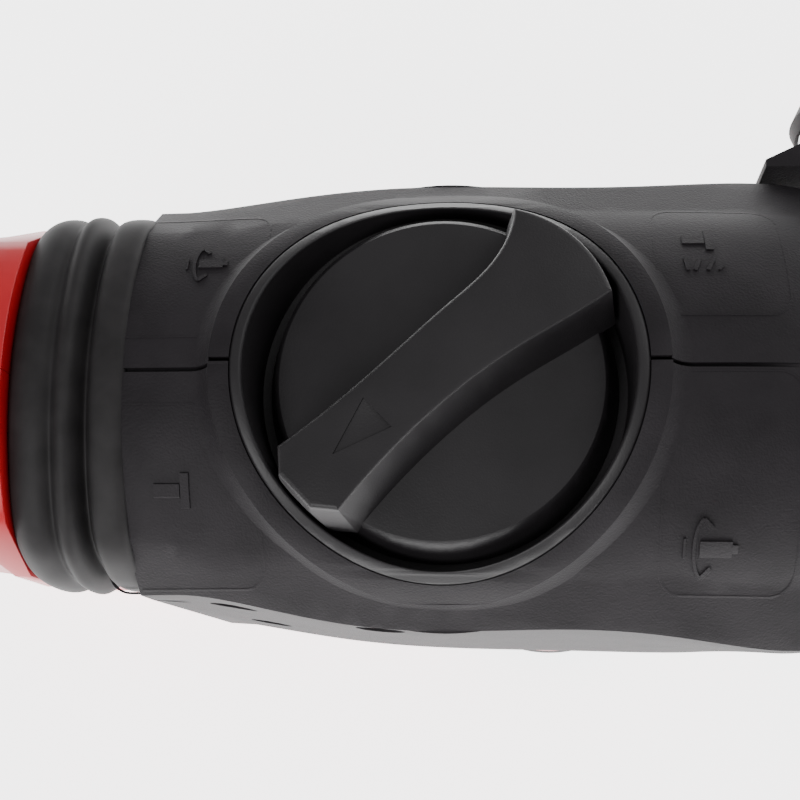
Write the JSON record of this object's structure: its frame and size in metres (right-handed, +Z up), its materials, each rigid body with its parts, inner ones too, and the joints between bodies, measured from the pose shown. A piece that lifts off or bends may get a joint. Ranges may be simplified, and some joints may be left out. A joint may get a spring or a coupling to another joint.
{
  "type": "rotary hammer",
  "caption": "L-shaped rotary hammer with vertical motor, mode dial, sprung D-handle, side handle and percussion mechanism inside a two-part clamshell.",
  "frame": {"origin": "centre of the tool holder's mouth, on the spindle axis", "axes": "+X out of the tool holder, +Z up, Y=0 is the parting plane of the housing, +Y the tool's left side"},
  "size_m": [0.378, 0.2221, 0.216],
  "materials": {
    "housing_black": "spark-eroded mould texture",
    "dial_black": "satin",
    "red_plastic": "satin",
    "soft_rubber": "matte",
    "steel": "ground",
    "gear_steel": "oiled",
    "cast_alloy": "cast",
    "copper": "enamelled",
    "lamination": "stacked",
    "carbon": "pressed",
    "screw_black": "phosphated",
    "fan_plastic": "moulded"
  },
  "bodies": {
    "root": {"housing_left": "housing_black", "housing_right": "housing_black", "housing_screws": "screw_black", "dial_bezel": "dial_black", "gear_case": "cast_alloy", "crank_bearings": "steel", "layshaft_bearings": "steel", "needle_bearing": "steel", "spindle_bearings": "steel", "front_housing": "cast_alloy", "shaft_seal": "soft_rubber", "motor_housing": "red_plastic", "motor_end_cap": "housing_black", "end_cap_screws": "screw_black", "bearing_plate": "cast_alloy", "motor_bearings": "steel", "stator": "lamination", "field_coils": "copper", "brush_holders": "copper", "carbon_brushes": "carbon", "upper_bellows": "soft_rubber", "pivot_pin": "steel"},
    "dial": {"mode_dial": "dial_black", "selector_cam": "fan_plastic"},
    "slider": {"shift_slider": "steel"},
    "armature": {"armature_shaft": "gear_steel", "armature_core": "lamination", "armature_windings": "copper", "commutator": "copper", "cooling_fan": "fan_plastic"},
    "crank": {"crank_gear": "gear_steel"},
    "layshaft": {"layshaft": "gear_steel"},
    "spindle": {"spindle": "gear_steel", "bevel_gear": "gear_steel", "locking_balls": "steel", "dust_cap": "soft_rubber", "chuck_spring": "steel"},
    "chuck": {"chuck_sleeve": "housing_black"},
    "piston": {"piston": "cast_alloy", "piston_ring": "soft_rubber", "piston_pin": "steel", "connecting_rod": "cast_alloy"},
    "striker": {"striker": "gear_steel", "striker_ring": "soft_rubber"},
    "bolt": {"impact_bolt": "gear_steel"},
    "handle": {"handle_left": "red_plastic", "handle_right": "red_plastic", "grip_overmould": "soft_rubber", "switch_body": "fan_plastic", "cable_gland": "soft_rubber"},
    "trigger": {"trigger": "housing_black"},
    "lock": {"lock_button": "housing_black"},
    "bracket": {"clamp_band": "housing_black"},
    "side_grip": {"side_grip": "soft_rubber"},
    "depth_rod": {"depth_rod": "steel"},
    "depth_button": {"depth_button": "housing_black"}
  },
  "joints": [
    {"name": "dial_turn", "type": "hinge", "parent": "root", "child": "dial", "pos_m": [-0.16, 0, 0.037], "axis": [0, 0, 1], "range_deg": [-270, 0]},
    {"name": "slider_shift", "type": "slide", "parent": "root", "child": "slider", "axis": [1, 0, 0], "range_m": [0, 0.009]},
    {"name": "armature_spin", "type": "hinge", "parent": "root", "child": "armature", "pos_m": [-0.138, 0, -0.1], "axis": [0, 0, 1], "continuous": true},
    {"name": "crank_spin", "type": "hinge", "parent": "root", "child": "crank", "pos_m": [-0.1655, 0, -0.04], "axis": [0, 0, 1], "continuous": true},
    {"name": "layshaft_spin", "type": "hinge", "parent": "root", "child": "layshaft", "pos_m": [-0.1155, 0, -0.04], "axis": [0, 0, 1], "continuous": true},
    {"name": "spindle_spin", "type": "hinge", "parent": "root", "child": "spindle", "pos_m": [-0.06, 0, 0], "axis": [1, 0, 0], "continuous": true},
    {"name": "chuck_release", "type": "slide", "parent": "spindle", "child": "chuck", "axis": [1, 0, 0], "range_m": [-0.007, 0], "stiffness_N_per_m": 2500, "springref_m": 0.003, "deforming": ["chuck_spring"]},
    {"name": "piston_stroke", "type": "slide", "parent": "root", "child": "piston", "axis": [1, 0, 0], "range_m": [0, 0.02]},
    {"name": "striker_travel", "type": "slide", "parent": "root", "child": "striker", "axis": [1, 0, 0], "range_m": [0, 0.004]},
    {"name": "bolt_travel", "type": "slide", "parent": "root", "child": "bolt", "axis": [1, 0, 0], "range_m": [0, 0.002]},
    {"name": "handle_spring", "type": "hinge", "parent": "root", "child": "handle", "pos_m": [-0.19, 0, -0.144], "axis": [0, 1, 0], "range_deg": [0, 2], "stiffness_Nm_per_rad": 250, "springref_deg": -1.15, "deforming": ["upper_bellows"]},
    {"name": "trigger_pull", "type": "slide", "parent": "handle", "child": "trigger", "axis": [-1, 0, 0], "range_m": [0, 0.007], "stiffness_N_per_m": 1200, "springref_m": -0.002},
    {"name": "lock_press", "type": "slide", "parent": "handle", "child": "lock", "axis": [0, -1, 0], "range_m": [0, 0.002], "stiffness_N_per_m": 1500, "springref_m": -0.001},
    {"name": "bracket_swing", "type": "hinge", "parent": "root", "child": "bracket", "pos_m": [-0.067, 0, 0], "axis": [1, 0, 0], "range_deg": [-8, 188]},
    {"name": "grip_twist", "type": "hinge", "parent": "bracket", "child": "side_grip", "pos_m": [-0.067, 0.1, 0], "axis": [0, 1, 0], "range_deg": [0, 180]},
    {"name": "rod_slide", "type": "slide", "parent": "bracket", "child": "depth_rod", "axis": [1, 0, 0], "range_m": [0, 0.06]},
    {"name": "rod_release", "type": "slide", "parent": "bracket", "child": "depth_button", "axis": [0, 0, -1], "range_m": [0, 0.001], "stiffness_N_per_m": 1500, "springref_m": -0.001}
  ],
  "couplings": [
    {"joint": "slider_shift", "follows": "dial_turn", "m_per_rad": -0.0019099},
    {"joint": "crank_spin", "follows": "armature_spin", "ratio": -0.19565},
    {"joint": "layshaft_spin", "follows": "armature_spin", "ratio": -0.25},
    {"joint": "spindle_spin", "follows": "armature_spin", "ratio": -0.083333}
  ]
}
